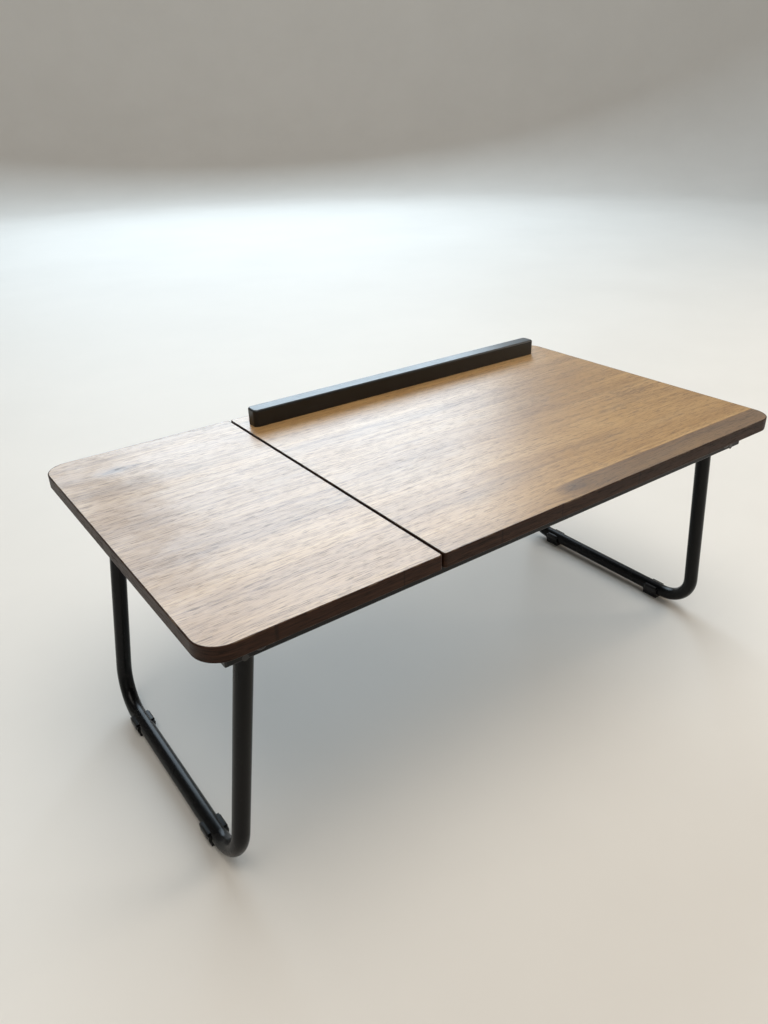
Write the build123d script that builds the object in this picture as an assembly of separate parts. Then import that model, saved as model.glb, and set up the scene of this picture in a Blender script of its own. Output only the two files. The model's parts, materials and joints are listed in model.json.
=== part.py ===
from build123d import *
import os
from math import sin, cos, radians, sqrt

# Folding lap tray table. Millimetres, +Z up, the floor is z = 0.
# +X runs along the long side, -Y is the side the user sits at, and the
# origin is on the floor under the centre of the top.
# Five bodies: the frame with the narrow fixed top, the wide tilting top,
# the wire prop under it, and a left and a right folding U-leg.

# ---- driving dimensions -------------------------------------------------
TOP_L = 600.0            # length of both boards together, X
TOP_D = 330.0            # depth, Y
TOP_Z = 246.0            # height of the top face
BOARD_T = 12.0           # board thickness
EDGE_T = 1.0             # thickness of the edge banding
SPLIT_X = 119.0          # centre of the gap between the two boards
SPLIT_GAP = 1.5
CORNER_R = 20.0          # outer corners of the top
INNER_R = 2.5            # corners of the boards beside the gap
EDGE_ROUND = 0.8         # rounding of the banding's top and bottom arris

RAIL_HALF_L = 280.0      # rails run X +-280
RAIL_OUT = 145.5         # |Y| of a rail's outer face
RAIL_W = 12.0
RAIL_H = 18.0
RAIL_TOP = 232.0
RAIL_WALL = 1.2

STRAP_T_FIXED = 2.0      # straps that carry the fixed board
STRAP_T_PROP = 1.5       # straps that carry the prop's ears
STRAP_W = 20.0

TUBE_R = 7.0             # leg tube, outside radius
TUBE_WALL = 1.2
LEG_LEAN = 7.5           # degrees outward from vertical, legs open
LEG_Y = 123.5            # |Y| of the leg tube's axis
LEG_BEND_R = 36.0        # centreline radius of the leg's bends
LEG_FOOT_X = 283.0       # |X| of the bottom tube's axis, legs open
LEG_STUB = 6.0           # tube that stands above the pivot
FOOT_T = 2.5             # sole thickness of the foot clip
FOOT_L = 18.0            # length of a foot clip along the tube
FOOT_Y = 77.0            # |Y| of a foot clip's centre

PIN_R = 3.0              # leg pivot pin
BUSH_CLEAR = 0.05        # radial running clearance, pin in bush
BUSH_OUT_R = 4.5

BAR_X0, BAR_X1 = -271.5, 108.0     # stop bar
BAR_Y0, BAR_Y1 = -146.5, -129.5
BAR_H = 17.0

HINGE_Y, HINGE_Z = -148.0, 231.5   # tilt axis, along X
HINGE_X = (-215.0, 33.0)
HINGE_L = 50.0
KNUCKLE_R = 2.5
HINGE_PIN_R = 1.25
LEAF_T = 1.5

PROP_Y = -38.0           # prop pivot axis, along X
PROP_Z = 222.0
PROP_L = 137.0           # pivot to rod
PROP_R = 3.0             # wire radius
PROP_BEND_R = 9.0
PROP_ARM_X = (-184.0, -86.0)
PROP_END_X = (-203.0, -67.0)
EAR_X = ((-197.0, -195.0), (-75.0, -73.0))
TILT_MAX = 35.0          # degrees
PROP_RATIO = 1.8348      # prop angle per tilt angle
RACK_X = (-165.0, -105.0)
RACK_W = 12.0
NOTCH_TILTS = (12.0, 19.0, 25.0, 30.0, 35.0)

# ---- derived ------------------------------------------------------------
HALF_L, HALF_D = TOP_L / 2, TOP_D / 2
BOARD_Z0 = TOP_Z - BOARD_T
RAIL_Z0 = RAIL_TOP - RAIL_H
PIVOT_Z = RAIL_TOP - RAIL_H / 2
RAIL_IN = RAIL_OUT - RAIL_W
RAIL_MID = RAIL_OUT - RAIL_W / 2
FOOT_Z = TUBE_R + FOOT_T
LEG_LEN = (PIVOT_Z - FOOT_Z) / cos(radians(LEG_LEAN))
PIVOT_X = LEG_FOOT_X - LEG_LEN * sin(radians(LEG_LEAN))
print("leg length", round(LEG_LEN, 2), "pivot x", round(PIVOT_X, 3), "pivot z", PIVOT_Z)

os.makedirs("parts", exist_ok=True)
OUT = {}


def node(name, shape):
    shapes = shape if isinstance(shape, (list, tuple)) else [shape]
    solids = []
    for s in shapes:
        solids += list(s.solids())
    result = solids[0] if len(solids) == 1 else Compound(children=solids)
    result.label = name
    OUT[name] = len(solids)
    export_step(result, "parts/%s.step" % name)


def box(x0, x1, y0, y1, z0, z1):
    return Pos((x0 + x1) / 2, (y0 + y1) / 2, (z0 + z1) / 2) * Box(
        abs(x1 - x0), abs(y1 - y0), abs(z1 - z0))


def cyl_x(x0, x1, y, z, r):
    return Pos((x0 + x1) / 2, y, z) * Rot(0, 90, 0) * Cylinder(r, abs(x1 - x0))


def cyl_y(x, y0, y1, z, r):
    return Pos(x, (y0 + y1) / 2, z) * Rot(90, 0, 0) * Cylinder(r, abs(y1 - y0))


def cyl_z(x, y, z0, z1, r):
    return Pos(x, y, (z0 + z1) / 2) * Cylinder(r, abs(z1 - z0))


def panel_face(x0, x1, y0, y1, r_low, r_high):
    """Rectangle whose x0 corners have radius r_low and x1 corners r_high."""
    face = Pos((x0 + x1) / 2, (y0 + y1) / 2) * Rectangle(x1 - x0, y1 - y0)
    low = [v for v in face.vertices() if v.X < (x0 + x1) / 2]
    face = fillet(low, r_low)
    high = [v for v in face.vertices() if v.X > (x0 + x1) / 2 and
            abs(abs(v.Y) - max(abs(y0), abs(y1))) < 1e-6 and v.X > x1 - 1e-6]
    return fillet(high, r_high)


# ---- boards and their edge banding --------------------------------------
def board(x0, x1, r_low, r_high):
    outer = extrude(Pos(0, 0, BOARD_Z0) * panel_face(x0, x1, -HALF_D, HALF_D, r_low, r_high), BOARD_T)
    core = extrude(Pos(0, 0, BOARD_Z0) * panel_face(
        x0 + EDGE_T, x1 - EDGE_T, -HALF_D + EDGE_T, HALF_D - EDGE_T,
        r_low - EDGE_T, r_high - EDGE_T), BOARD_T)
    rims = outer.faces().sort_by(Axis.Z)[-1].edges() + outer.faces().sort_by(Axis.Z)[0].edges()
    outer = fillet(rims, EDGE_ROUND)
    return core, outer - core


fixed_x0 = SPLIT_X + SPLIT_GAP / 2
tilt_x1 = SPLIT_X - SPLIT_GAP / 2
fixed_core, fixed_edge = board(fixed_x0, HALF_L, INNER_R, CORNER_R)
tilt_core, tilt_edge = board(-HALF_L, tilt_x1, CORNER_R, INNER_R)

# ---- rails --------------------------------------------------------------
stop_x = PIVOT_X + 10.9
stop_z = PIVOT_Z - 7.0
STOP_R = 2.5
RIVET_R = 1.6


def rail(side):
    y0, y1 = sorted((side * RAIL_OUT, side * RAIL_IN))
    cap_t = 1.5
    tube = box(-RAIL_HALF_L + cap_t, RAIL_HALF_L - cap_t, y0, y1, RAIL_Z0, RAIL_TOP)
    tube = fillet(tube.edges().filter_by(Axis.X), 1.6)
    bore = box(-RAIL_HALF_L, RAIL_HALF_L, y0 + RAIL_WALL, y1 - RAIL_WALL,
               RAIL_Z0 + RAIL_WALL, RAIL_TOP - RAIL_WALL)
    tube -= bore
    for sx in (-1, 1):
        tube -= cyl_y(sx * PIVOT_X, y0 - 5, y1 + 5, PIVOT_Z, PIN_R)
        tube -= cyl_y(sx * stop_x, y0 - 5, y1 + 5, stop_z, STOP_R)
    if side < 0:
        for hx in HINGE_X:
            for dx in (-18, 0, 18):
                tube -= cyl_y(hx + dx, -RAIL_OUT - 1, -RAIL_OUT + RAIL_WALL + 1, HINGE_Z - 9.5, RIVET_R)
    return tube


node("front_rail", rail(-1))
node("rear_rail", rail(1))

caps = []
for sy in (-1, 1):
    for sx in (-1, 1):
        yc = sy * RAIL_MID
        flange = box(sx * (RAIL_HALF_L - 1.5), sx * RAIL_HALF_L,
                     yc - RAIL_W / 2, yc + RAIL_W / 2, RAIL_Z0, RAIL_TOP)
        flange = fillet(flange.edges().filter_by(Axis.X), 1.6)
        rim = flange.faces().sort_by(Axis.X)[-1 if sx > 0 else 0].edges()
        flange = fillet(rim, 0.8)
        plug = box(sx * (RAIL_HALF_L - 9.5), sx * (RAIL_HALF_L - 1.5),
                   yc - RAIL_W / 2 + RAIL_WALL, yc + RAIL_W / 2 - RAIL_WALL,
                   RAIL_Z0 + RAIL_WALL, RAIL_TOP - RAIL_WALL)
        hollow = box(sx * (RAIL_HALF_L - 9.5), sx * (RAIL_HALF_L - 1.5),
                     yc - RAIL_W / 2 + RAIL_WALL + 1.4, yc + RAIL_W / 2 - RAIL_WALL - 1.4,
                     RAIL_Z0 + RAIL_WALL + 1.4, RAIL_TOP - RAIL_WALL - 1.4)
        caps.append(flange + (plug - hollow))
node("rail_end_caps", caps)

# ---- straps across the rails --------------------------------------------
FIX_STRAPS = (145.0, 226.0)
PROP_STRAPS = (-206.0, -64.0)
fix_screw_pts = []


def strap(xc, t, holes):
    y_end = RAIL_OUT - 1.0
    s = box(xc - STRAP_W / 2, xc + STRAP_W / 2, -y_end, y_end, RAIL_TOP, RAIL_TOP + t)
    s = fillet(s.edges().filter_by(Axis.Z), 3.0)
    for hx, hy, r in holes:
        s -= cyl_z(hx, hy, RAIL_TOP - 2, RAIL_TOP + t + 2, r)
    return s


SCREW_R = 1.75
SCREW_HEAD_R = 3.6
screws = []
for i, xc in enumerate(FIX_STRAPS):
    pts = [(xc, y) for y in (-95.0, 0.0, 95.0)]
    node(("inner" if i == 0 else "outer") + "_board_strap",
         strap(xc, STRAP_T_FIXED, [(x, y, SCREW_R) for x, y in pts]))
    fix_screw_pts += pts
for x, y in fix_screw_pts:
    head = cyl_z(x, y, RAIL_TOP - 2.0, RAIL_TOP, SCREW_HEAD_R)
    head = fillet(head.faces().sort_by(Axis.Z)[0].edges(), 1.1)
    recess = box(x - 2.0, x + 2.0, y - 0.45, y + 0.45, RAIL_TOP - 2.0, RAIL_TOP - 0.9) + \
        box(x - 0.45, x + 0.45, y - 2.0, y + 2.0, RAIL_TOP - 2.0, RAIL_TOP - 0.9)
    shank = cyl_z(x, y, RAIL_TOP, RAIL_TOP + 9.5, SCREW_R)
    screws.append((head - recess) + shank)
    fixed_core -= cyl_z(x, y, BOARD_Z0 - 1, RAIL_TOP + 9.5, SCREW_R)
node("fixed_board_screws", screws)
node("fixed_board", fixed_core)
node("fixed_board_edging", fixed_edge)

EAR_RIVET_Y = (PROP_Y - 12.0, PROP_Y + 12.0)
ear_rivet_x = []
for i, xc in enumerate(PROP_STRAPS):
    rx = xc - 1.0 if i == 0 else xc + 1.0
    ear_rivet_x.append(rx)
    node(("outer" if i == 0 else "inner") + "_prop_strap",
         strap(xc, STRAP_T_PROP, [(rx, y, RIVET_R) for y in EAR_RIVET_Y]))

# ---- ears that carry the prop -------------------------------------------
EAR_NAMES = ("outer_prop_ear", "inner_prop_ear")
for i, (ex0, ex1) in enumerate(EAR_X):
    fx0, fx1 = (ex0 - 15.0, ex1) if i == 0 else (ex0, ex1 + 15.0)
    flange = box(fx0, fx1, PROP_Y - 20, PROP_Y + 20, RAIL_TOP - 2.0, RAIL_TOP)
    web = box(ex0, ex1, PROP_Y - 9, PROP_Y + 9, PROP_Z - 8.0, RAIL_TOP)
    web = fillet([e for e in web.edges().filter_by(Axis.X) if e.center().Z < PROP_Z], 7.0)
    gus = box(ex0, ex1, PROP_Y - 20, PROP_Y + 20, RAIL_TOP - 5.0, RAIL_TOP)
    ear = flange + web + gus
    ear -= cyl_x(ex0 - 1, ex1 + 1, PROP_Y, PROP_Z, PROP_R + 0.08)
    for y in EAR_RIVET_Y:
        ear -= cyl_z(ear_rivet_x[i], y, RAIL_TOP - 3, RAIL_TOP + 1, RIVET_R)
    node(EAR_NAMES[i], ear)

rivets = []
for rx in ear_rivet_x:
    for y in EAR_RIVET_Y:
        head = cyl_z(rx, y, RAIL_TOP - 3.2, RAIL_TOP - 2.0, 3.0)
        head = fillet(head.faces().sort_by(Axis.Z)[0].edges(), 0.9)
        rivets.append(head + cyl_z(rx, y, RAIL_TOP - 2.0, RAIL_TOP + STRAP_T_PROP, RIVET_R))
node("ear_rivets", rivets)

# ---- rubber pads under the tilting board --------------------------------
pads = []
for x, y in ((-262.0, RAIL_MID), (-100.0, RAIL_MID), (96.0, RAIL_MID), (-262.0, -RAIL_MID), (96.0, -RAIL_MID)):
    p = cyl_z(x, y, RAIL_TOP, BOARD_Z0 - 0.3, 5.0)
    pads.append(fillet(p.faces().sort_by(Axis.Z)[-1].edges(), 0.7))
node("rest_pads", pads)

# ---- leg pivots on the rails --------------------------------------------
pins, spacers, lock_nuts, stops = [], [], [], []
leg_in = LEG_Y - TUBE_R
for sy in (-1, 1):
    for sx in (-1, 1):
        x = sx * PIVOT_X
        shank = cyl_y(x, sy * (leg_in - 4.6), sy * RAIL_OUT, PIVOT_Z, PIN_R)
        head = cyl_y(x, sy * RAIL_OUT, sy * (RAIL_OUT + 2.2), PIVOT_Z, 5.2)
        rim = head.faces().sort_by(Axis.Y)[-1 if sy > 0 else 0].edges()
        pins.append(shank + fillet(rim, 1.8))
        # the spacer stands 0.5 mm off the leg
        sp = cyl_y(x, sy * RAIL_IN, sy * (LEG_Y + TUBE_R + 0.5), PIVOT_Z, 6.0)
        sp -= cyl_y(x, sy * (LEG_Y + TUBE_R), sy * (RAIL_IN + 1), PIVOT_Z, PIN_R)
        spacers.append(sp)
        # the nut stands 0.5 mm off the leg
        y_a, y_b = sorted((sy * (leg_in - 0.5), sy * (leg_in - 4.6)))
        hexa = Pos(x, (y_a + y_b) / 2, PIVOT_Z) * Rot(90, 0, 0) * extrude(
            RegularPolygon(5.0, 6, major_radius=False), (y_b - y_a) / 2, both=True)
        hexa -= cyl_y(x, y_a - 1, y_b + 1, PIVOT_Z, PIN_R)
        lock_nuts.append(hexa)
        sx_stop = sx * stop_x
        peg = cyl_y(sx_stop, sy * (LEG_Y - 3.0), sy * RAIL_OUT, stop_z, STOP_R)
        peg = fillet(peg.faces().sort_by(Axis.Y)[0 if sy > 0 else -1].edges(), 0.8)
        stops.append(peg)
node("leg_pivot_pins", pins)
node("leg_pivot_spacers", spacers)
node("leg_pivot_nuts", lock_nuts)
node("leg_stop_pegs", stops)


# ---- legs ---------------------------------------------------------------
def leg(sx, name):
    # local frame: pivot at the origin, the leg hangs along -Z
    place = Pos(sx * PIVOT_X, 0, PIVOT_Z) * Rot(0, -sx * LEG_LEAN, 0)
    path = FilletPolyline(
        (0, -LEG_Y, LEG_STUB), (0, -LEG_Y, -LEG_LEN), (0, LEG_Y, -LEG_LEN), (0, LEG_Y, LEG_STUB),
        radius=LEG_BEND_R)
    start = Plane(origin=path @ 0, z_dir=path % 0)
    outer = sweep(start * Circle(TUBE_R), path)
    inner = sweep(start * Circle(TUBE_R - TUBE_WALL), path)
    tube = outer - inner
    for sy in (-1, 1):
        tube -= cyl_y(0, sy * (LEG_Y - TUBE_R - 1), sy * (LEG_Y + TUBE_R + 1), 0, BUSH_OUT_R)
    node(name + "_leg_tube", place * tube)

    bushes, plugs = [], []
    for sy in (-1, 1):
        b = cyl_y(0, sy * (LEG_Y - TUBE_R), sy * (LEG_Y + TUBE_R), 0, BUSH_OUT_R)
        b -= cyl_y(0, sy * (LEG_Y - TUBE_R - 1), sy * (LEG_Y + TUBE_R + 1), 0, PIN_R + BUSH_CLEAR)
        bushes.append(place * b)
        cap = cyl_z(0, sy * LEG_Y, LEG_STUB, LEG_STUB + 1.2, TUBE_R)
        cap = fillet(cap.faces().sort_by(Axis.Z)[-1].edges(), 0.8)
        cap += cyl_z(0, sy * LEG_Y, BUSH_OUT_R + 0.1, LEG_STUB, TUBE_R - TUBE_WALL)
        plugs.append(place * cap)
    node(name + "_leg_bushes", bushes)
    node(name + "_leg_end_plugs", plugs)

    # push-on foot clips, open on top, flat sole on the floor
    cx = sx * LEG_FOOT_X
    wall = 1.9
    for sy, end in ((-1, "front"), (1, "rear")):
        yc = sy * FOOT_Y
        ring = Pos(cx, yc, FOOT_Z) * Rot(90, 0, 0) * Cylinder(TUBE_R + wall, FOOT_L)
        sole = box(cx - 7.2, cx + 7.2, yc - FOOT_L / 2, yc + FOOT_L / 2, 0, FOOT_Z)
        sole = fillet(sole.faces().sort_by(Axis.Z)[0].edges(), 0.9)
        cheek = box(cx - TUBE_R - wall - 0.5, cx + TUBE_R + wall + 0.5, yc - FOOT_L / 2 + 2.0, yc + FOOT_L / 2 - 2.0,
                    FOOT_Z - 1.5, FOOT_Z + 4.2)
        cheek = fillet(cheek.edges().filter_by(Axis.Y).group_by(Axis.Z)[-1], 2.6)
        cheek = fillet(cheek.edges().filter_by(Axis.Z), 1.2)
        body = ring + sole + cheek
        body -= box(cx - 20, cx + 20, yc - FOOT_L, yc + FOOT_L, FOOT_Z + 4.2, FOOT_Z + 30)
        for e in (-1, 1):
            ya, yb = sorted((yc + e * (FOOT_L / 2 - 2.0), yc + e * FOOT_L))
            body -= box(cx - 20, cx + 20, ya, yb, FOOT_Z + 2.4, FOOT_Z + 30)
        body -= Pos(cx, yc, FOOT_Z) * Rot(90, 0, 0) * Cylinder(TUBE_R, FOOT_L + 10)
        node("%s_%s_foot_clip" % (name, end), body.solids().sort_by(SortBy.VOLUME)[-1])


leg(-1, "left")
leg(1, "right")

# ---- tilt hinges --------------------------------------------------------
KN_GAP = 0.4
seg = (HINGE_L - 4 * KN_GAP) / 5
hinge_pins, hinge_rivets, hinge_screws = [], [], []
for name, hx in zip(("left", "right"), HINGE_X):
    spans = []
    x = hx - HINGE_L / 2
    for k in range(5):
        spans.append((x, x + seg))
        x += seg + KN_GAP
    # leaf on the rail: knuckles 1, 3, 5
    fl = box(hx - HINGE_L / 2, hx + HINGE_L / 2, -RAIL_OUT - LEAF_T, -RAIL_OUT, HINGE_Z - 16.0, HINGE_Z - 2.7)
    fl = fillet([e for e in fl.edges().filter_by(Axis.Y) if e.center().Z < HINGE_Z - 10], 3.0)
    for k in (0, 2, 4):
        a, b = spans[k]
        fl += box(a, b, -RAIL_OUT - LEAF_T, -RAIL_OUT, HINGE_Z - 3.0, HINGE_Z)
        fl += cyl_x(a, b, HINGE_Y, HINGE_Z, KNUCKLE_R)
    fl -= cyl_x(hx - 30, hx + 30, HINGE_Y, HINGE_Z, HINGE_PIN_R)
    for dx in (-18, 0, 18):
        fl -= cyl_y(hx + dx, -RAIL_OUT - 3, -RAIL_OUT + 1, HINGE_Z - 9.5, RIVET_R)
        h = cyl_y(hx + dx, -RAIL_OUT - LEAF_T - 1.0, -RAIL_OUT - LEAF_T, HINGE_Z - 9.5, 3.0)
        h = fillet(h.faces().sort_by(Axis.Y)[0].edges(), 0.8)
        hinge_rivets.append(h + cyl_y(hx + dx, -RAIL_OUT - LEAF_T, -RAIL_OUT + RAIL_WALL, HINGE_Z - 9.5, RIVET_R))
    node(name + "_hinge_rail_leaf", fl)
    # leaf under the board: knuckles 2, 4, reaching towards the front edge
    bl = box(hx - HINGE_L / 2, hx + HINGE_L / 2, -162.5, HINGE_Y - 2.7, BOARD_Z0 - LEAF_T, BOARD_Z0)
    bl = fillet([e for e in bl.edges().filter_by(Axis.Z) if e.center().Y < -160], 3.0)
    for k in (1, 3):
        a, b = spans[k]
        bl += box(a, b, HINGE_Y - 3.0, HINGE_Y, BOARD_Z0 - LEAF_T, BOARD_Z0)
        bl += cyl_x(a, b, HINGE_Y, HINGE_Z, KNUCKLE_R)
    bl -= cyl_x(hx - 30, hx + 30, HINGE_Y, HINGE_Z, HINGE_PIN_R + 0.05)
    for dx in (-18, 0, 18):
        bl -= cyl_z(hx + dx, -156.0, BOARD_Z0 - 3, BOARD_Z0 + 1, RIVET_R)
        h = cyl_z(hx + dx, -156.0, BOARD_Z0 - LEAF_T - 1.1, BOARD_Z0 - LEAF_T, 2.9)
        h = fillet(h.faces().sort_by(Axis.Z)[0].edges(), 0.8)
        hinge_screws.append(h + cyl_z(hx + dx, -156.0, BOARD_Z0 - LEAF_T, BOARD_Z0 + 8.0, RIVET_R))
        tilt_core -= cyl_z(hx + dx, -156.0, BOARD_Z0 - 1, BOARD_Z0 + 8.0, RIVET_R)
    node(name + "_hinge_board_leaf", bl)
    pin = cyl_x(hx - HINGE_L / 2, hx + HINGE_L / 2, HINGE_Y, HINGE_Z, HINGE_PIN_R)
    hinge_pins.append(pin)
node("hinge_pins", hinge_pins)
node("hinge_rivets", hinge_rivets)
node("hinge_screws", hinge_screws)

# ---- stop bar on the tilting board --------------------------------------
bar = box(BAR_X0, BAR_X1, BAR_Y0, BAR_Y1, TOP_Z, TOP_Z + BAR_H)
bar = fillet(bar.edges().filter_by(Axis.Z), 4.5)
bar = fillet(bar.faces().sort_by(Axis.Z)[-1].edges(), 2.0)
bar_mid = (BAR_Y0 + BAR_Y1) / 2
bar_screws = []
for x in (-234.0, -82.5, 69.0):
    hole = cyl_z(x, bar_mid, BOARD_Z0 - 1, TOP_Z + 9.0, SCREW_R)
    cone = Pos(x, bar_mid, BOARD_Z0 + 1.0) * Cone(SCREW_HEAD_R, SCREW_R, 2.0)
    s = cone + cyl_z(x, bar_mid, BOARD_Z0 + 2.0, TOP_Z + 9.0, SCREW_R)
    bar -= hole
    tilt_core -= hole
    tilt_core -= cone
    drive = box(x - 2.0, x + 2.0, bar_mid - 0.45, bar_mid + 0.45, BOARD_Z0, BOARD_Z0 + 1.0) + \
        box(x - 0.45, x + 0.45, bar_mid - 2.0, bar_mid + 2.0, BOARD_Z0, BOARD_Z0 + 1.0)
    bar_screws.append(s - drive)
node("stop_bar", bar)
node("stop_bar_screws", bar_screws)


# ---- notched racks under the tilting board ------------------------------
def rod_path(tilt):
    """Rod centre in the tilting board's own axes, measured from the tilt axis."""
    t, p = radians(tilt), radians(PROP_RATIO * tilt)
    y = (PROP_Y - HINGE_Y) + PROP_L * cos(p)
    z = (PROP_Z - HINGE_Z) + PROP_L * sin(p)
    return y * cos(t) + z * sin(t), -y * sin(t) + z * cos(t)


path_pts = [rod_path(0.5 * i) for i in range(int(TILT_MAX * 2) + 1)]
racks, rack_screws = [], []
for name, rx in zip(("outer", "inner"), RACK_X):
    y_a, y_b = HINGE_Y + 195.5, HINGE_Y + 254.0
    # side outline: flat top against the board, underside follows the rod with 0.45 mm to spare
    low = [(HINGE_Y + d, HINGE_Z + h + PROP_R + 0.45) for d, h in path_pts[::5]]
    last_d, last_h = path_pts[-1]
    outline = [(y_b, BOARD_Z0), (y_b, low[0][1])] + low
    # hook beyond the last notch
    outline += [(HINGE_Y + last_d - 2.0, low[-1][1]), (HINGE_Y + last_d - 3.7, HINGE_Z + last_h + 2.0),
                (HINGE_Y + last_d - 4.2, HINGE_Z + last_h - 2.2), (y_a, HINGE_Z + last_h - 2.2), (y_a, BOARD_Z0)]
    pts = [(rx - RACK_W / 2, y, z) for y, z in outline]
    face = Face(Wire(Polyline(*pts, close=True).edges()))
    rack = extrude(face, amount=RACK_W, dir=(1, 0, 0))
    for tilt in NOTCH_TILTS:
        d, h = rod_path(tilt)
        rack -= cyl_x(rx - RACK_W, rx + RACK_W, HINGE_Y + d, HINGE_Z + h + 1.5, PROP_R + 0.45)
    # fixing ears at both ends
    for ya, yb, ys in ((y_a - 9.0, y_a + 0.5, y_a - 4.7), (y_b - 0.5, y_b + 9.0, y_b + 4.7)):
        ear = box(rx - RACK_W / 2, rx + RACK_W / 2, ya, yb, BOARD_Z0 - 2.5, BOARD_Z0)
        rack += ear
        rack -= cyl_z(rx, ys, BOARD_Z0 - 4, BOARD_Z0 + 1, RIVET_R)
        h2 = cyl_z(rx, ys, BOARD_Z0 - 2.5 - 1.1, BOARD_Z0 - 2.5, 2.9)
        h2 = fillet(h2.faces().sort_by(Axis.Z)[0].edges(), 0.8)
        rack_screws.append(h2 + cyl_z(rx, ys, BOARD_Z0 - 2.5, BOARD_Z0 + 7.0, RIVET_R))
        tilt_core -= cyl_z(rx, ys, BOARD_Z0 - 1, BOARD_Z0 + 7.0, RIVET_R)
    node(name + "_notched_rack", rack)
node("rack_screws", rack_screws)
node("tilt_board", tilt_core)
node("tilt_board_edging", tilt_edge)

# ---- wire prop ----------------------------------------------------------
rod_y = PROP_Y + PROP_L
wire_path = FilletPolyline(
    (PROP_END_X[0], PROP_Y, PROP_Z), (PROP_ARM_X[0], PROP_Y, PROP_Z), (PROP_ARM_X[0], rod_y, PROP_Z),
    (PROP_ARM_X[1], rod_y, PROP_Z), (PROP_ARM_X[1], PROP_Y, PROP_Z), (PROP_END_X[1], PROP_Y, PROP_Z),
    radius=PROP_BEND_R)
wire = sweep(Plane(origin=wire_path @ 0, z_dir=wire_path % 0) * Circle(PROP_R), wire_path)
node("prop_wire", wire)
caps = []
for x0, x1 in ((PROP_END_X[0] - 0.5, EAR_X[0][0] - 1.2), (EAR_X[1][1] + 1.2, PROP_END_X[1] + 0.5)):
    c = cyl_x(x0, x1, PROP_Y, PROP_Z, 5.0)
    c = fillet(c.edges().filter_by(GeomType.CIRCLE), 0.8)
    c -= cyl_x(PROP_END_X[0], PROP_END_X[1], PROP_Y, PROP_Z, PROP_R)
    caps.append(c)
node("prop_end_caps", caps)

print(len(OUT), "nodes")
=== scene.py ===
import json
import math
import random

import bmesh
import bpy
from mathutils import Matrix, Vector, noise


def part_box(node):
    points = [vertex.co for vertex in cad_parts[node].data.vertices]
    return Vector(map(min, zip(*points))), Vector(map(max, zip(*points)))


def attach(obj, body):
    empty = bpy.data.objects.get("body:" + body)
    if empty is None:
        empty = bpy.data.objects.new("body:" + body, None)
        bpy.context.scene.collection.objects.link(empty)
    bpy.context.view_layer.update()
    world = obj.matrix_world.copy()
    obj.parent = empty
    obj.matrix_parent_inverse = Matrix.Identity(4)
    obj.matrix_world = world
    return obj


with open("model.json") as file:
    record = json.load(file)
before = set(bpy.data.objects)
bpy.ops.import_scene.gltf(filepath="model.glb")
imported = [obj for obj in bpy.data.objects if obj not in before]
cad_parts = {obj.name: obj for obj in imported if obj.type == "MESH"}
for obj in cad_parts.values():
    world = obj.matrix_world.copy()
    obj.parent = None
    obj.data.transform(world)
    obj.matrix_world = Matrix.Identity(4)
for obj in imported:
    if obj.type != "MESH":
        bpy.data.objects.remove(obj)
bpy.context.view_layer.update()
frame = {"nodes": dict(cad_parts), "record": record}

NODES = frame["nodes"]
scene = bpy.context.scene
rng = random.Random(11)


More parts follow.
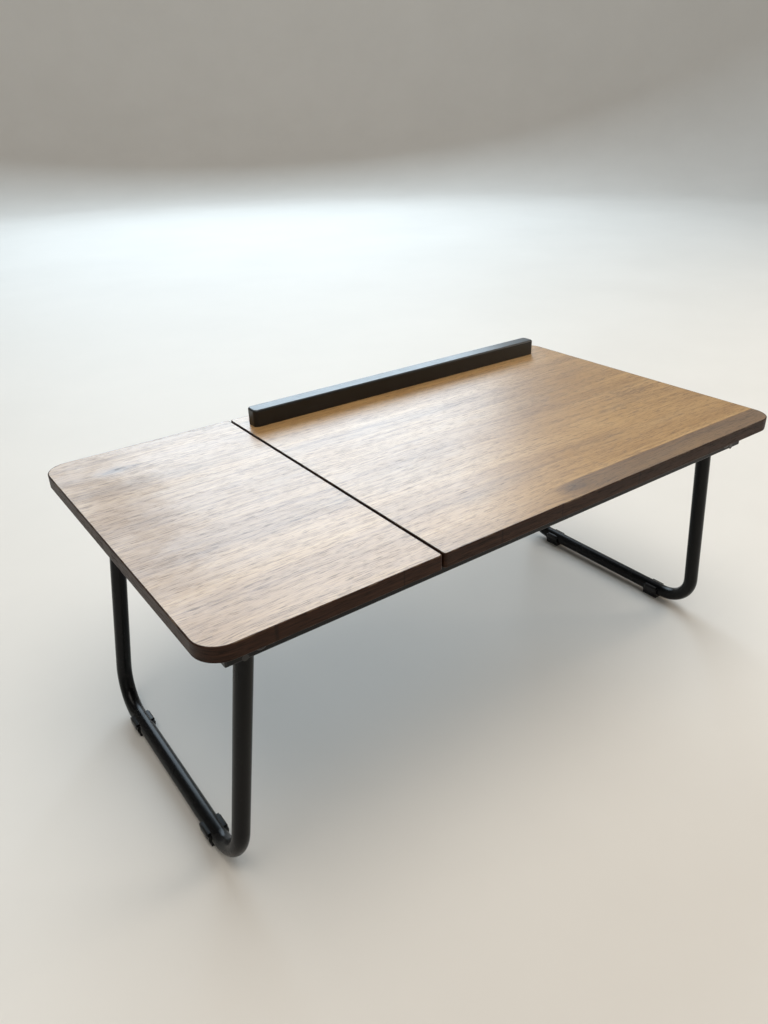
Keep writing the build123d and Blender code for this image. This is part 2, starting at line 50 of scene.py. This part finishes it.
# ---------------------------------------------------------------- shader kit
class Mat:
    """Small helper that builds a procedural material."""

    def __init__(self, name):
        self.m = bpy.data.materials.new(name)
        self.m.use_nodes = True
        self.t = self.m.node_tree
        self.t.nodes.clear()
        self.out = self.t.nodes.new("ShaderNodeOutputMaterial")
        self.b = self.t.nodes.new("ShaderNodeBsdfPrincipled")
        self.t.links.new(self.b.outputs[0], self.out.inputs[0])

    def node(self, kind, **props):
        n = self.t.nodes.new(kind)
        for k, v in props.items():
            setattr(n, k, v)
        return n

    def put(self, sock, v):
        if isinstance(v, bpy.types.NodeSocket):
            self.t.links.new(v, sock)
        elif v is not None:
            if hasattr(sock.default_value, "__len__"):
                v = tuple(v)
                if len(sock.default_value) == 4 and len(v) == 3:
                    v = v + (1.0,)
                sock.default_value = v
            else:
                sock.default_value = v

    def coords(self, which="Object"):
        return self.node("ShaderNodeTexCoord").outputs[which]

    def mm(self):
        return self.vmul(self.coords(), (1000, 1000, 1000))

    def vmul(self, v, k):
        n = self.node("ShaderNodeVectorMath", operation="MULTIPLY")
        self.put(n.inputs[0], v)
        self.put(n.inputs[1], k)
        return n.outputs[0]

    def vadd(self, v, k):
        n = self.node("ShaderNodeVectorMath", operation="ADD")
        self.put(n.inputs[0], v)
        self.put(n.inputs[1], k)
        return n.outputs[0]

    def sep(self, v):
        n = self.node("ShaderNodeSeparateXYZ")
        self.put(n.inputs[0], v)
        return n.outputs[0], n.outputs[1], n.outputs[2]

    def comb(self, x, y, z):
        n = self.node("ShaderNodeCombineXYZ")
        self.put(n.inputs[0], x)
        self.put(n.inputs[1], y)
        self.put(n.inputs[2], z)
        return n.outputs[0]

    def math(self, op, a, b=None, c=None, clamp=False):
        n = self.node("ShaderNodeMath", operation=op, use_clamp=clamp)
        self.put(n.inputs[0], a)
        if b is not None:
            self.put(n.inputs[1], b)
        if c is not None:
            self.put(n.inputs[2], c)
        return n.outputs[0]

    def add(self, a, b):
        return self.math("ADD", a, b)

    def sub(self, a, b):
        return self.math("SUBTRACT", a, b)

    def mul(self, a, b):
        return self.math("MULTIPLY", a, b)

    def noise(self, vec, scale=1.0, detail=2.0, rough=0.5, dist=0.0, lac=2.0):
        n = self.node("ShaderNodeTexNoise", noise_dimensions="3D")
        self.put(n.inputs["Vector"], vec)
        n.inputs["Scale"].default_value = scale
        n.inputs["Detail"].default_value = detail
        n.inputs["Roughness"].default_value = rough
        n.inputs["Distortion"].default_value = dist
        n.inputs["Lacunarity"].default_value = lac
        return n.outputs[0]

    def voronoi(self, vec, scale=1.0, feature="F1", out="Distance", rand=1.0):
        n = self.node("ShaderNodeTexVoronoi", voronoi_dimensions="3D", feature=feature)
        self.put(n.inputs["Vector"], vec)
        n.inputs["Scale"].default_value = scale
        n.inputs["Randomness"].default_value = rand
        return n.outputs[out]

    def rng(self, v, a, b, c=0.0, d=1.0, smooth=True):
        n = self.node("ShaderNodeMapRange", interpolation_type="SMOOTHSTEP" if smooth else "LINEAR", clamp=True)
        self.put(n.inputs[0], v)
        n.inputs[1].default_value = a
        n.inputs[2].default_value = b
        n.inputs[3].default_value = c
        n.inputs[4].default_value = d
        return n.outputs[0]

    def ramp(self, v, stops, interp="LINEAR"):
        n = self.node("ShaderNodeValToRGB")
        n.color_ramp.interpolation = interp
        e = n.color_ramp.elements
        while len(e) > 1:
            e.remove(e[0])
        for i, (p, c) in enumerate(stops):
            x = e[0] if i == 0 else e.new(p)
            x.position = p
            x.color = tuple(c) + (1.0,)
        self.put(n.inputs[0], v)
        return n.outputs[0]

    def mix(self, f, a, b, mode="MIX"):
        n = self.node("ShaderNodeMix", data_type="RGBA", blend_type=mode)
        self.put(n.inputs[0], f)
        self.put(n.inputs[6], a)
        self.put(n.inputs[7], b)
        return n.outputs[2]

    def fmix(self, f, a, b):
        n = self.node("ShaderNodeMix", data_type="FLOAT")
        self.put(n.inputs[0], f)
        self.put(n.inputs[2], a)
        self.put(n.inputs[3], b)
        return n.outputs[0]

    def bump(self, h, strength, dist, normal=None):
        n = self.node("ShaderNodeBump")
        n.inputs["Strength"].default_value = strength
        n.inputs["Distance"].default_value = dist
        self.put(n.inputs["Height"], h)
        if normal is not None:
            self.put(n.inputs["Normal"], normal)
        return n.outputs[0]

    def set(self, **kw):
        names = {"color": "Base Color", "rough": "Roughness", "metal": "Metallic", "normal": "Normal",
                 "ior": "IOR", "coat": "Coat Weight", "coat_rough": "Coat Roughness", "spec": "Specular IOR Level",
                 "sss": "Subsurface Weight", "aniso": "Anisotropic"}
        for k, v in kw.items():
            self.put(self.b.inputs[names[k]], v)
        return self.m


WOOD_RAMP = [
    (0.00, (0.066, 0.030, 0.011)),
    (0.22, (0.135, 0.066, 0.024)),
    (0.42, (0.235, 0.124, 0.045)),
    (0.58, (0.330, 0.186, 0.070)),
    (0.76, (0.415, 0.248, 0.100)),
    (1.00, (0.520, 0.340, 0.155)),
]


def wood_tone(w, u, v, seed, knots=(), flecks=()):
    """Grain tone, pore mask and streak height for grain that runs along u."""
    u2 = w.add(u, seed * 731.0)
    warp = w.noise(w.comb(w.mul(u2, 1 / 210.0), w.mul(v, 1 / 46.0), seed), 1.0, 3.0, 0.5)
    v1 = w.add(v, w.mul(w.sub(warp, 0.5), 13.0))
    core = None
    for kx, ky, rx, ry in knots:
        dx = w.mul(w.sub(u, kx), 1.0 / rx)
        dy = w.mul(w.sub(v, ky), 1.0 / ry)
        wob = w.noise(w.comb(w.mul(u, 1 / 12.0), w.mul(v, 1 / 12.0), seed + 3), 1.0, 3.0)
        d2 = w.add(w.mul(dx, dx), w.mul(dy, dy))
        g = w.math("EXPONENT", w.mul(d2, -0.45))
        v1 = w.add(v1, w.mul(w.mul(w.sub(ky, v), 0.8), g))
        rings = w.math("SINE", w.add(w.mul(w.math("SQRT", d2), 11.0), w.mul(wob, 6.0)))
        k = w.mul(w.rng(w.add(d2, w.mul(wob, 1.2)), 2.2, 0.3), w.add(w.mul(rings, 0.14), 0.45))
        heart = w.mul(w.rng(w.add(d2, w.mul(wob, 0.3)), 0.50, 0.12), 0.60)
        k = w.math("MAXIMUM", k, heart)
        core = k if core is None else w.math("MAXIMUM", core, k)
    broad = w.noise(w.comb(w.mul(u2, 1 / 480.0), w.mul(v1, 1 / 19.0), seed), 1.0, 3.0, 0.5)
    streak = w.noise(w.comb(w.mul(u2, 1 / 130.0), w.mul(v1, 1 / 2.9), seed + 1.7), 1.0, 3.0, 0.55)
    dash = w.noise(w.comb(w.mul(u2, 1 / 32.0), w.mul(v1, 1 / 0.95), seed + 5.1), 1.0, 2.0, 0.5)
    hair = w.noise(w.comb(w.mul(u2, 1 / 15.0), w.mul(v1, 1 / 0.60), seed + 6.4), 1.0, 2.0, 0.5)
    # open pores: short thin dashes along the grain, denser in the dark streaks
    pore_n = w.noise(w.comb(w.mul(u2, 1 / 9.0), w.mul(v1, 1 / 0.60), seed + 8.3), 1.0, 1.0, 0.5)
    dens = w.rng(streak, 0.60, 0.36, 0.0, 0.085)
    for fx, fy, rx, ry, amt in flecks:
        dx = w.mul(w.sub(u, fx), 1.0 / rx)
        dy = w.mul(w.sub(v, fy), 1.0 / ry)
        dens = w.add(dens, w.mul(w.math("EXPONENT", w.mul(w.add(w.mul(dx, dx), w.mul(dy, dy)), -0.7)), amt))
    pores = w.rng(w.add(pore_n, dens), 0.610, 0.665)
    tone = w.add(w.mul(w.sub(broad, 0.5), 0.60), w.mul(w.sub(streak, 0.5), 0.42))
    tone = w.add(tone, w.mul(w.sub(dash, 0.5), 0.44))
    tone = w.add(tone, w.mul(w.sub(hair, 0.5), 0.50))
    tone = w.add(tone, 0.635)
    return tone, pores, streak, dash, core, u2, v1


def wood_top(name, seed, band, knots, flecks=(), shade=0.0, dull_painted_shade=()):
    w = Mat(name)
    x, y, z = w.sep(w.mm())
    tone, pores, streak, dash, core, u2, v1 = wood_tone(w, x, y, seed, knots, flecks)
    greyed = None
    # printed plank bands, each with its own tone and a thin dark joint
    for (edge, width, dtone, x_a, x_b, low) in band:
        wob = w.mul(w.sub(w.noise(w.comb(w.mul(x, 1 / 30.0), seed, 0.0), 1.0, 2.0), 0.5), 0.9)
        ye = w.add(y, wob)
        m = w.rng(ye, edge - 0.7, edge + 0.7)
        if width is not None:
            m = w.mul(m, w.rng(y, edge + width + 0.7, edge + width - 0.7))
        fade = w.rng(x, x_b, x_a, low, 1.0)
        tone = w.add(tone, w.mul(w.mul(m, fade), dtone))
        if dtone < -0.1:
            greyed = w.mul(m, fade)
            lite = w.mul(w.rng(w.math("ABSOLUTE", w.sub(ye, edge - 2.0)), 1.1, 0.3), fade)
            tone = w.add(tone, w.mul(lite, 0.16))
        joint = w.mul(w.rng(w.math("ABSOLUTE", w.sub(ye, edge)), 0.9, 0.1), fade)
        tone = w.sub(tone, w.mul(joint, 0.12))
    mott = w.noise(w.comb(w.mul(x, 1 / 110.0), w.mul(y, 1 / 70.0), seed + 21), 1.0, 3.0, 0.6)
    tone = w.add(tone, w.mul(w.sub(mott, 0.5), 0.24))
    tone = w.add(tone, shade)
    if core is not None:
        tone = w.sub(tone, w.mul(core, 0.50))
    tone = w.math("MAXIMUM", w.math("MINIMUM", tone, 0.99), 0.01)
    col = w.ramp(tone, WOOD_RAMP)
    # smoky grey cast in soft patches along the grain
    smoke = w.noise(w.comb(w.mul(u2, 1 / 170.0), w.mul(v1, 1 / 30.0), seed + 31), 1.0, 3.0, 0.6)
    col = w.mix(w.rng(smoke, 0.50, 0.80, 0.0, 0.30), col, (0.170, 0.132, 0.098))
    if greyed is not None:
        col = w.mix(w.mul(greyed, 0.50), col, (0.105, 0.080, 0.064))
    if core is not None:
        col = w.mix(w.mul(core, 0.55), col, (0.085, 0.072, 0.064))
    # fine light flecks across the grain
    fleck = w.noise(w.comb(w.mul(x, 1 / 1.5), w.mul(y, 1 / 3.2), seed + 41), 1.0, 2.0, 0.5)
    col = w.mix(w.rng(fleck, 0.60, 0.78, 0.0, 0.20), col, (0.47, 0.35, 0.22))
    col = w.mix(w.mul(pores, 0.48), col, (0.042, 0.024, 0.014))
    # underside: plain dark backing sheet
    nx, ny, nz = w.sep(w.coords("Normal"))
    under = w.rng(nz, -0.3, -0.7)
    fib = w.noise(w.vmul(w.mm(), (0.9, 1.1, 1.0)), 1.0, 4.0, 0.65)
    back = w.ramp(fib, [(0.2, (0.036, 0.029, 0.024)), (0.8, (0.060, 0.049, 0.041))])
    col = w.mix(under, col, back)
    rough = w.add(0.325, w.mul(w.sub(0.55, dash), 0.045))
    rough = w.add(rough, w.mul(pores, 0.12))
    smudge = w.noise(w.comb(w.mul(x, 1 / 60.0), w.mul(y, 1 / 46.0), seed + 50), 1.0, 4.0, 0.7)
    rough = w.add(rough, w.mul(w.sub(smudge, 0.5), 0.12))
    # patches at the narrow board's end: less glossy, and greyed darker as painted shade where the sheen falls off
    for px, py, rx, ry, amt in dull_painted_shade:
        dx = w.mul(w.sub(x, px), 1.0 / rx)
        dy = w.mul(w.sub(y, py), 1.0 / ry)
        g = w.math("EXPONENT", w.mul(w.add(w.mul(dx, dx), w.mul(dy, dy)), -0.7))
        g = w.mul(g, w.rng(smudge, 0.30, 0.62, 0.55, 1.0))
        rough = w.add(rough, w.mul(g, amt))
        # painted shade: colour darkened and greyed in these patches
        col = w.mix(w.mul(g, amt * 1.8), col, (0.110, 0.084, 0.062))
    # faint wiped arcs and hairline scuffs
    scr = w.noise(w.comb(w.mul(w.add(x, w.mul(y, 0.6)), 1 / 0.9), w.mul(w.sub(y, w.mul(x, 0.6)), 1 / 60.0), seed + 61), 1.0, 1.0)
    scr = w.rng(scr, 0.735, 0.775)
    rough = w.add(rough, w.mul(scr, 0.12))
    rough = w.fmix(under, rough, 0.62)
    h = w.sub(w.add(w.mul(streak, 0.18), w.mul(dash, 0.30)), w.mul(pores, 0.55))
    nrm = w.bump(h, 0.05, 0.00008)
    w.b.inputs["Specular IOR Level"].default_value = 0.90
    return w.set(color=col, rough=rough, normal=nrm, ior=1.52)


# edge band colours: the same laminate as the tops, darkened to a small fraction of the top colours as painted
# shade for band faces turned away from the light
EDGE_RAMP_PAINTED_SHADE = [
    (0.00, (0.007, 0.0025, 0.0012)),
    (0.30, (0.015, 0.0056, 0.0026)),
    (0.55, (0.030, 0.0115, 0.0055)),
    (0.80, (0.052, 0.0220, 0.0110)),
    (1.00, (0.085, 0.0410, 0.0210)),
]


def wood_edge(name, seed):
    """Edge banding: grain runs round the rim; its colours are darkened as painted shade, with a painted dark line
    of shade along the top arris.
    """
    w = Mat(name)
    x, y, z = w.sep(w.mm())
    s = w.math("SIGN", w.mul(x, y))
    u = w.sub(x, w.mul(y, s))
    tone, pores, streak, dash, core, u2, v1 = wood_tone(w, u, w.mul(z, 1.3), seed)
    # printed plank ends: now and then a short upright joint
    cell = w.math("FRACT", w.mul(w.add(u, w.mul(w.noise(w.comb(w.mul(u, 1 / 80.0), 0.0, seed), 1.0, 1.0), 130.0)), 1 / 97.0))
    joint = w.rng(w.math("ABSOLUTE", w.sub(cell, 0.5)), 0.012, 0.002)
    tone = w.sub(w.sub(tone, 0.04), w.mul(joint, 0.22))
    tone = w.math("MAXIMUM", w.math("MINIMUM", tone, 0.99), 0.01)
    col = w.ramp(tone, EDGE_RAMP_PAINTED_SHADE)
    col = w.mix(w.mul(pores, 0.6), col, (0.012, 0.007, 0.005))
    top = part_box("fixed_board_edging")[1].z * 1000
    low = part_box("fixed_board_edging")[0].z * 1000
    # rubbed arrises: lighter at the rims in patches (wear); the band's top face is darkened as painted shade, a
    # dark line standing in for the rounded arris in shadow
    rim = w.math("MAXIMUM", w.rng(z, top - 0.9, top - 0.15), w.rng(z, low + 0.9, low + 0.15))
    patch = w.noise(w.comb(w.mul(u, 1 / 17.0), w.mul(z, 1 / 3.0), seed + 4), 1.0, 3.0, 0.6)
    col = w.mix(w.mul(rim, w.rng(patch, 0.50, 0.64, 0.0, 0.5)), col, (0.20, 0.135, 0.085))
    # painted shade: thin dark line on the top face of the band
    arris_painted_shade = w.rng(z, top - 0.06, top - 0.01)
    col = w.mix(w.mul(arris_painted_shade, 0.6), col, (0.030, 0.018, 0.012))
    rough = w.add(0.38, w.mul(streak, 0.12))
    rough = w.add(rough, w.mul(pores, 0.2))
    h = w.sub(w.add(w.mul(streak, 0.5), w.mul(dash, 0.5)), w.mul(pores, 0.8))
    m = w.set(color=col, rough=rough, normal=w.bump(h, 0.30, 0.00008), ior=1.48)
    w.b.inputs["Specular IOR Level"].default_value = 0.15
    return m


def powder(name, base, lift, rough, peel=0.30, peel_mm=0.9, wear=0.0, spec=0.4, vary=1.0):
    """Powder-coated steel: orange peel, faint dust and rubbed spots."""
    w = Mat(name)
    p = w.mm()
    peel_a = w.noise(p, 1.0 / peel_mm, 2.0, 0.5)
    peel_b = w.noise(p, 1.0 / (peel_mm * 3.2), 2.0, 0.5)
    cloud = w.noise(p, 1 / 34.0, 4.0, 0.6)
    spots = w.rng(w.noise(p, 1 / 2.2, 2.0, 0.5), 0.70, 0.76)
    rub = w.rng(w.noise(w.vmul(p, (0.05, 0.05, 0.03)), 1.0, 5.0, 0.7), 0.56, 0.70)
    col = w.mix(cloud, base, lift)
    col = w.mix(w.mul(spots, 0.06 + wear), col, (0.085, 0.083, 0.080))
    col = w.mix(w.mul(rub, 0.06 + wear), col, (0.050, 0.048, 0.046))
    r = w.add(rough - 0.04, w.mul(cloud, 0.08))
    r = w.add(r, w.mul(rub, 0.10 * vary))
    r = w.add(r, w.mul(spots, 0.12 * vary))
    h = w.add(w.mul(peel_a, 0.6), w.mul(peel_b, 0.9))
    m = w.set(color=col, rough=r, normal=w.bump(h, peel, 0.00006), ior=1.52)
    w.b.inputs["Specular IOR Level"].default_value = spec
    return m


def plastic(name, base, lift, rough, grain_mm=0.35, depth=0.35, spec=0.4):
    """Moulded plastic with a spark-eroded grain, flow clouds and light scuffs."""
    w = Mat(name)
    p = w.mm()
    g = w.voronoi(p, 1.0 / grain_mm)
    g2 = w.noise(p, 1.0 / (grain_mm * 2.4), 3.0, 0.6)
    cloud = w.noise(p, 1 / 22.0, 3.0, 0.55)
    scuff = w.rng(w.noise(w.vmul(p, (0.03, 0.7, 0.7)), 1.0, 3.0, 0.6), 0.62, 0.70)
    col = w.mix(cloud, base, lift)
    col = w.mix(w.mul(scuff, 0.12), col, tuple(min(1.0, c * 3 + 0.02) for c in lift))
    r = w.add(rough, w.mul(w.sub(cloud, 0.5), 0.10))
    r = w.add(r, w.mul(scuff, 0.12))
    h = w.add(w.mul(g, 0.5), w.mul(g2, 0.7))
    w.b.inputs["Specular IOR Level"].default_value = spec
    return w.set(color=col, rough=r, normal=w.bump(h, depth, 0.00005), ior=1.47)


def steel(name, tint, rough, metal=1.0):
    """Zinc-plated steel with turning marks and a little bloom."""
    w = Mat(name)
    p = w.mm()
    lines = w.noise(w.vmul(p, (2.5, 2.5, 9.0)), 1.0, 2.0, 0.6)
    bloom = w.noise(p, 1 / 3.5, 4.0, 0.65)
    col = w.ramp(bloom, [(0.25, tuple(c * 0.72 for c in tint)), (0.75, tint)])
    r = w.add(w.add(rough, w.mul(bloom, 0.16)), w.mul(lines, 0.08))
    return w.set(color=col, rough=r, metal=metal, normal=w.bump(lines, 0.25, 0.00004))


def nylon(name):
    w = Mat(name)
    p = w.mm()
    cloud = w.noise(p, 1 / 4.0, 3.0, 0.6)
    col = w.ramp(cloud, [(0.3, (0.56, 0.53, 0.46)), (0.7, (0.72, 0.69, 0.62))])
    return w.set(color=col, rough=w.add(0.34, w.mul(cloud, 0.12)), sss=0.12,
                 normal=w.bump(w.noise(p, 2.2, 2.0), 0.2, 0.00004))


def rubber(name):
    w = Mat(name)
    p = w.mm()
    g = w.noise(p, 1.6, 3.0, 0.6)
    col = w.ramp(g, [(0.3, (0.016, 0.016, 0.016)), (0.75, (0.045, 0.043, 0.041))])
    return w.set(color=col, rough=w.add(0.68, w.mul(g, 0.16)), normal=w.bump(g, 0.4, 0.00008))


# ------------------------------------------------------------------ materials
# the wide board: darker plank along the rear edge, a smoky knot beside it
tilt_wood = wood_top(
    "laminate_wide", 1.0,
    band=[(141.0, None, -0.24, -60.0, 10.0, 0.15),
          (34.0, 92.5, 0.035, -300.0, 118.0, 0.8),
          (-70.0, 58.0, -0.045, -300.0, 118.0, 0.6)],
    knots=[(-32.0, 150.0, 19.0, 9.0)],
    flecks=[(-240.0, 30.0, 42.0, 17.0, 0.075), (-170.0, -60.0, 60.0, 12.0, 0.03)])
fixed_wood = wood_top(
    "laminate_narrow", 4.0,
    band=[(62.0, None, 0.03, 119.0, 300.0, 0.7),
          (-48.0, 110.0, -0.03, 119.0, 300.0, 1.0)],
    knots=[(251.0, -119.0, 20.0, 7.0)],
    flecks=[(230.0, -100.0, 50.0, 20.0, 0.05)], shade=-0.02,
    dull_painted_shade=[(268.0, -70.0, 40.0, 75.0, 0.14), (285.0, 60.0, 34.0, 70.0, 0.09)])
tilt_edge = wood_edge("edge_band_wide", 2.3)
fixed_edge = wood_edge("edge_band_narrow", 6.1)
frame_paint = powder("frame_paint", (0.0055, 0.0055, 0.0058), (0.0105, 0.0105, 0.0108), 0.42, peel=0.30, spec=0.18)
leg_paint = powder("leg_paint", (0.0022, 0.0022, 0.0024), (0.0042, 0.0042, 0.0044), 0.26, peel=0.07, peel_mm=1.5, spec=0.15, vary=0.35)
wire_paint = powder("wire_paint", (0.0060, 0.0060, 0.0064), (0.011, 0.011, 0.011), 0.36, peel=0.26, peel_mm=0.8, wear=0.04, spec=0.38)
hinge_paint = powder("hinge_coat", (0.009, 0.009, 0.0095), (0.018, 0.017, 0.017), 0.36, peel=0.20, peel_mm=0.6, wear=0.06, spec=0.42)
rivet_paint = powder("rivet_black", (0.008, 0.008, 0.008), (0.018, 0.017, 0.016), 0.34, peel=0.2, peel_mm=0.5, wear=0.05, spec=0.42)
clip_plastic = plastic("clip_plastic", (0.0032, 0.0032, 0.0035), (0.0062, 0.0062, 0.0062), 0.33, grain_mm=0.4, depth=0.15, spec=0.30)
cap_plastic = plastic("cap_plastic", (0.0075, 0.0075, 0.0075), (0.013, 0.013, 0.013), 0.46, grain_mm=0.35, depth=0.32, spec=0.38)
bar_plastic = plastic("bar_plastic", (0.0042, 0.0042, 0.0046), (0.0080, 0.0080, 0.0084), 0.30, grain_mm=0.30, depth=0.16, spec=0.50)
rack_plastic = plastic("rack_plastic", (0.011, 0.011, 0.0115), (0.019, 0.019, 0.019), 0.44, grain_mm=0.4, depth=0.3, spec=0.4)
zinc = steel("zinc_plate", (0.66, 0.65, 0.61), 0.26)
nylon_m = nylon("natural_nylon")
rubber_m = rubber("pad_rubber")

USE = {}
for n in ("fixed_board",):
    USE[n] = fixed_wood
USE["tilt_board"] = tilt_wood
USE["fixed_board_edging"] = fixed_edge
USE["tilt_board_edging"] = tilt_edge
SLOT_MAT = {
    "black_frame_paint": frame_paint, "black_leg_paint": leg_paint, "black_plastic": cap_plastic,
    "bar_plastic": bar_plastic, "rack_plastic": rack_plastic, "nylon": nylon_m, "pad_rubber": rubber_m,
    "plated_steel": zinc, "hinge_steel": hinge_paint, "black_rivet": rivet_paint, "prop_wire_paint": wire_paint,
}
slot_of = {s["node"]: s["material_slot"] for s in frame["record"]["subparts"]}
for name, obj in NODES.items():
    m = USE.get(name) or SLOT_MAT[slot_of[name]]
    if name.endswith("foot_clip"):
        m = clip_plastic
    obj.data.materials.clear()
    obj.data.materials.append(m)


# ------------------------------------------------------- small mesh details
def finish_mesh(bm, name, mat, body, smooth=True):
    me = bpy.data.meshes.new(name)
    bmesh.ops.recalc_face_normals(bm, faces=bm.faces)
    bm.to_mesh(me)
    bm.free()
    for p in me.polygons:
        p.use_smooth = smooth
    me.materials.append(mat)
    o = bpy.data.objects.new(name, me)
    scene.collection.objects.link(o)
    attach(o, body)
    return o


def bead(bm, a, b, r, side, up, seed):
    """A lumpy fillet weld from a to b, bulging along side and up."""
    a, b = Vector(a), Vector(b)
    d = (b - a)
    n = max(12, int(d.length / 0.0007))
    ring = 7
    rows = []
    for i in range(n + 1):
        t = i / n
        c = a + d * t
        taper = min(1.0, min(t, 1 - t) / 0.08)
        ripple = 0.86 + 0.14 * abs(math.sin(t * d.length / 0.0017 * math.pi))
        k = r * taper ** 0.5 * ripple * (0.92 + 0.16 * noise.noise(Vector((t * 9, seed, 0))))
        k = max(k, r * 0.05)
        row = []
        for j in range(ring):
            ang = math.pi / 2 * j / (ring - 1)
            row.append(bm.verts.new(c + side * (k * math.cos(ang)) + up * (k * math.sin(ang))))
        row.append(bm.verts.new(c - side * 0.0001 - up * 0.0001))
        rows.append(row)
    m = ring + 1
    for i in range(n):
        for j in range(m):
            bm.faces.new((rows[i][j], rows[i][(j + 1) % m], rows[i + 1][(j + 1) % m], rows[i + 1][j]))
    bm.faces.new(list(reversed(rows[0])))
    bm.faces.new(rows[-1])


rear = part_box("rear_rail")
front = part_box("front_rail")
bm = bmesh.new()
for strap in ("inner_board_strap", "outer_board_strap", "inner_prop_strap", "outer_prop_strap"):
    lo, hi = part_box(strap)
    for face_y, s in ((rear[0].y, -1.0), (front[1].y, 1.0)):
        z = rear[1].z
        bead(bm, (lo.x + 0.0035, face_y, z), (hi.x - 0.0035, face_y, z), 0.0016,
             Vector((0, s, 0)), Vector((0, 0, -1)), rng.random() * 50)
finish_mesh(bm, "strap_welds", frame_paint, "frame")

# ------------------------------------------------------------ camera, floor
right = Vector((-0.80506025, 0.59276101, -0.02263596))
up = Vector((-0.29444871, -0.36619762, 0.88272264))
back = Vector((0.51495433, 0.71731004, 0.46934886))
cam_data = bpy.data.cameras.new("camera")
cam_data.sensor_width = 36.0
cam_data.sensor_fit = "AUTO"
cam_data.lens = 27.461684629
cam_data.clip_start = 0.01
cam_data.clip_end = 60
cam = bpy.data.objects.new("camera", cam_data)
scene.collection.objects.link(cam)
cam.matrix_world = Matrix((
    (right.x, up.x, back.x, 0.42233715),
    (right.y, up.y, back.y, 0.51739182),
    (right.z, up.z, back.z, 0.52681021),
    (0, 0, 0, 1)))
scene.camera = cam

# pale round floor that sweeps up into a wall on every side
view = Vector((-back.x, -back.y, 0)).normalized()
R = 1.6
D0 = 4.3
SEG = 72
prof = [(0.6, 0.0), (1.4, 0.0), (2.6, 0.0), (D0, 0.0)]
prof += [(D0 + R * math.sin(a), R - R * math.cos(a)) for a in [math.pi / 2 * i / 24 for i in range(1, 25)]]
prof += [(D0 + R, R + 1.5), (D0 + R, R + 4.0)]
bm = bmesh.new()
hub = bm.verts.new((0, 0, 0))
rows = []
for d, z in prof:
    rows.append([bm.verts.new((d * math.cos(2 * math.pi * k / SEG), d * math.sin(2 * math.pi * k / SEG), z)) for k in range(SEG)])
for k in range(SEG):
    bm.faces.new((hub, rows[0][k], rows[0][(k + 1) % SEG]))
for i in range(len(rows) - 1):
    for k in range(SEG):
        bm.faces.new((rows[i][k], rows[i + 1][k], rows[i + 1][(k + 1) % SEG], rows[i][(k + 1) % SEG]))
me = bpy.data.meshes.new("floor")
bm.to_mesh(me)
bm.free()
for p in me.polygons:
    p.use_smooth = True
floor = bpy.data.objects.new("floor", me)
scene.collection.objects.link(floor)
fm = Mat("floor_paint")
fc = fm.noise(fm.coords(), 3.0, 4.0, 0.6)
me.materials.append(fm.set(
    color=fm.ramp(fc, [(0.3, (0.70, 0.675, 0.635)), (0.7, (0.73, 0.705, 0.665))]),
    rough=fm.add(0.55, fm.mul(fc, 0.1)),
    normal=fm.bump(fm.noise(fm.mm(), 0.5, 3.0), 0.05, 0.0001), spec=0.3))


def area(name, loc, target, size, size_y, power, color=(1, 1, 1)):
    ld = bpy.data.lights.new(name, "AREA")
    ld.shape = "RECTANGLE"
    ld.size = size
    ld.size_y = size_y
    ld.energy = power
    ld.color = color
    o = bpy.data.objects.new(name, ld)
    scene.collection.objects.link(o)
    o.location = loc
    d = (Vector(target) - Vector(loc)).normalized()
    o.rotation_euler = d.to_track_quat("-Z", "Y").to_euler()
    o.visible_camera = False
    return o


area("window_soft", (-1.62, -3.48, 2.32), (0.05, 0.05, 0.25), 3.0, 2.4, 131, (0.71, 0.868, 1.0))
area("overhead_soft", (0.2, 0.3, 2.9), (0.0, 0.0, 0.0), 2.4, 2.4, 58, (1.0, 0.95, 0.875))
area("warm_fill", (-2.2, 0.9, 1.5), (0.0, 0.0, 0.15), 1.2, 1.2, 20, (1.0, 0.87, 0.72))
area("front_fill", (1.6, 2.2, 1.3), (0.0, 0.0, 0.15), 1.6, 1.2, 1.5, (1.0, 0.97, 0.93))
wall = view * (D0 + R)
area("backdrop_wash", tuple(view * 3.6 + Vector((0, 0, 4.6))), tuple(wall + Vector((0, 0, 2.0))), 5.0, 0.8, 26, (1.0, 0.99, 0.97))

world = bpy.data.worlds.new("world")
scene.world = world
world.use_nodes = True
world.node_tree.nodes["Background"].inputs[0].default_value = (0.84, 0.82, 0.80, 1)
world.node_tree.nodes["Background"].inputs[1].default_value = 0.22
scene.view_settings.view_transform = "Standard"
scene.view_settings.look = "None"
